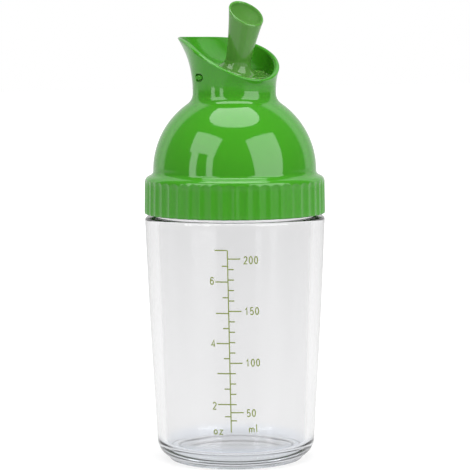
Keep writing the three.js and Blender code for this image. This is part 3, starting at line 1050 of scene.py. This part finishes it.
def make_gasket(material):
    corner = 0.35
    points = arc(GASKET_OUTER - corner, GASKET_BOTTOM + corner, corner, -math.pi / 2, 0, 4)
    points += arc(GASKET_OUTER - corner, GASKET_TOP - corner, corner, 0, math.pi / 2, 4)
    points += arc(GASKET_INNER + corner, GASKET_TOP - corner, corner, math.pi / 2, math.pi, 4)
    points += arc(GASKET_INNER + corner, GASKET_BOTTOM + corner, corner, math.pi, 1.5 * math.pi, 4)
    vertices, faces = loft(turned_rings(points, 192), 192, True)
    gasket = outward(make_object("gasket_ring", vertices, faces, "gasket"))
    return dress(gasket, material, "soft_seal", "lid_gasket")


# Studio

def camera_axes():
    """Directions to the right of, toward and above the camera, seen level."""
    toward = Vector((math.sin(CAMERA_AZIMUTH), -math.cos(CAMERA_AZIMUTH), 0))
    right = Vector((math.cos(CAMERA_AZIMUTH), math.sin(CAMERA_AZIMUTH), 0))
    return right, toward, Vector((0, 0, 1))


def make_camera():
    right, toward, up = camera_axes()
    data = bpy.data.cameras.new("camera")
    data.sensor_width = SENSOR
    data.lens = SENSOR * FOCAL_PIXELS / FRAME_PIXELS
    data.clip_start = 0.05
    data.clip_end = 20
    camera = bpy.data.objects.new("camera", data)
    bpy.context.scene.collection.objects.link(camera)
    back = toward * math.cos(CAMERA_PITCH) + up * math.sin(CAMERA_PITCH)
    above = up * math.cos(CAMERA_PITCH) - toward * math.sin(CAMERA_PITCH)
    turn = Matrix((right, above, back)).transposed().to_4x4()
    place = toward * CAMERA_DISTANCE * MM + up * CAMERA_HEIGHT * MM
    camera.matrix_world = Matrix.Translation(place) @ turn @ Matrix.Rotation(CAMERA_ROLL, 4, "Z")
    bpy.context.scene.camera = camera


def make_floor():
    size = FLOOR_HALF
    corners = [(-size, -size, 0), (size, -size, 0), (size, size, 0), (-size, size, 0)]
    mesh = bpy.data.meshes.new("floor")
    mesh.from_pydata(corners, [], [(0, 1, 2, 3)])
    floor = bpy.data.objects.new("floor", mesh)
    bpy.context.scene.collection.objects.link(floor)
    material, tree, shader = new_material("floor_paper_painted_light")
    shader.inputs["Base Color"].default_value = FLOOR_GREY
    shader.inputs["Roughness"].default_value = 0.9
    shader.inputs["Specular IOR Level"].default_value = 0.2
    shader.inputs["Emission Color"].default_value = (1, 1, 1, 1)
    # The glow seen in reflections and through the cup is painted light on the floor: dim in front, brighter
    # behind, beside and close to the foot, and raised for rays through the cup.
    place = tree.nodes.new("ShaderNodeTexCoord")
    right, toward, _ = camera_axes()
    depth = tree.nodes.new("ShaderNodeVectorMath")
    depth.operation = "DOT_PRODUCT"
    depth.inputs[1].default_value = tuple(-toward)
    tree.links.new(place.outputs["Object"], depth.inputs[0])
    behind = map_range(tree, depth.outputs["Value"], (-0.02, 0.12), (0.18, 0.66))
    distance = tree.nodes.new("ShaderNodeVectorMath")
    distance.operation = "LENGTH"
    tree.links.new(place.outputs["Object"], distance.inputs[0])
    near = map_range(tree, distance.outputs["Value"], (0.06, 0.13), (0.5, 0.0))
    across = tree.nodes.new("ShaderNodeVectorMath")
    across.operation = "DOT_PRODUCT"
    across.inputs[1].default_value = tuple(right)
    tree.links.new(place.outputs["Object"], across.inputs[0])
    turn = math_node(tree, "DIVIDE", across.outputs["Value"], distance.outputs["Value"])
    beside = map_range(tree, math_node(tree, "ABSOLUTE", turn), (0.3, 0.6), (0.0, 0.6))
    path = tree.nodes.new("ShaderNodeLightPath")
    through = map_range(tree, path.outputs["Is Transmission Ray"], (0, 1), (0.0, THROUGH_LEVEL))
    reflected = behind
    for other in (near, beside, through):
        reflected = math_node(tree, "MAXIMUM", reflected, other)
    # For the camera the floor glows dimmer close to the shaker's foot, a painted contact shadow, and white
    # farther out.
    seen = map_range(tree, distance.outputs["Value"], (0.03, 0.12), (0.74, 1.05))
    choice = tree.nodes.new("ShaderNodeMix")
    tree.links.new(path.outputs["Is Camera Ray"], choice.inputs["Factor"])
    tree.links.new(reflected, choice.inputs["A"])
    tree.links.new(seen, choice.inputs["B"])
    tree.links.new(choice.outputs["Result"], shader.inputs["Emission Strength"])
    mesh.materials.append(material)


def math_node(tree, operation, first, second=None):
    node = tree.nodes.new("ShaderNodeMath")
    node.operation = operation
    tree.links.new(first, node.inputs[0])
    if second is not None:
        tree.links.new(second, node.inputs[1])
    return node.outputs["Value"]


def map_range(tree, source, span, levels):
    node = tree.nodes.new("ShaderNodeMapRange")
    node.interpolation_type = "SMOOTHSTEP"
    node.inputs["From Min"].default_value = span[0]
    node.inputs["From Max"].default_value = span[1]
    node.inputs["To Min"].default_value = levels[0]
    node.inputs["To Max"].default_value = levels[1]
    tree.links.new(source, node.inputs["Value"])
    return node.outputs["Result"]


def softbox(name, azimuth, elevation, width, height, radiance, shape="RECTANGLE"):
    """A light facing the shaker; angles in degrees from the camera's direction, to the right and up."""
    right, toward, up = camera_axes()
    a, e = math.radians(azimuth), math.radians(elevation)
    direction = (right * math.sin(a) + toward * math.cos(a)) * math.cos(e) + up * math.sin(e)
    data = bpy.data.lights.new(name, "AREA")
    data.shape = shape
    data.size = width
    data.size_y = height
    data.energy = radiance * math.pi * width * height
    light = bpy.data.objects.new(name, data)
    bpy.context.scene.collection.objects.link(light)
    light.location = Vector((0, 0, LIGHT_TARGET)) + direction * LIGHT_DISTANCE
    light.rotation_euler = direction.to_track_quat("Z", "Y").to_euler()


def make_lights():
    for name, azimuth, elevation, width, height in WINDOWS:
        softbox(name, azimuth, elevation, width, height, WINDOW_RADIANCE)
    softbox("overhead", 0, 86, 1.45, 1.15, OVERHEAD_RADIANCE, "ELLIPSE")


def make_world():
    """White for the camera and behind the shaker, grey at the sides and in front."""
    world = bpy.data.worlds.new("studio")
    bpy.context.scene.world = world
    world.use_nodes = True
    tree = world.node_tree
    background = tree.nodes["Background"]
    coordinates = tree.nodes.new("ShaderNodeTexCoord")
    dot = tree.nodes.new("ShaderNodeVectorMath")
    dot.operation = "DOT_PRODUCT"
    _, toward, _ = camera_axes()
    dot.inputs[1].default_value = tuple(-toward)
    tree.links.new(coordinates.outputs["Generated"], dot.inputs[0])
    sides = map_range(tree, dot.outputs["Value"], (0.42, 0.52), (0.2, 1.05))
    middle = map_range(tree, dot.outputs["Value"], (0.6, 0.72), (0.0, 0.31))
    around = math_node(tree, "SUBTRACT", sides, middle)
    path = tree.nodes.new("ShaderNodeLightPath")
    through = map_range(tree, path.outputs["Is Transmission Ray"], (0, 1), (0.0, THROUGH_LEVEL))
    cap = map_range(tree, path.outputs["Is Transmission Ray"], (0, 1), (2.0, THROUGH_CAP))
    level = math_node(tree, "MAXIMUM", math_node(tree, "MINIMUM", around, cap), through)
    level = math_node(tree, "MAXIMUM", level, path.outputs["Is Camera Ray"])
    tree.links.new(level, background.inputs["Strength"])
    background.inputs["Color"].default_value = (1, 1, 1, 1)


def set_view():
    settings = bpy.context.scene.view_settings
    settings.view_transform = "Standard"
    settings.look = "None"
    settings.exposure = 0
    settings.gamma = 1


make_camera()
make_floor()
make_world()
make_lights()
set_view()
make_cup()
ink = scale_ink()
make_scale(ink)
make_labels(ink)
lid = make_lid()
make_pin(lid.data.materials[0])
make_lever()
seal = soft_seal()
make_seal(seal)
make_gasket(seal)
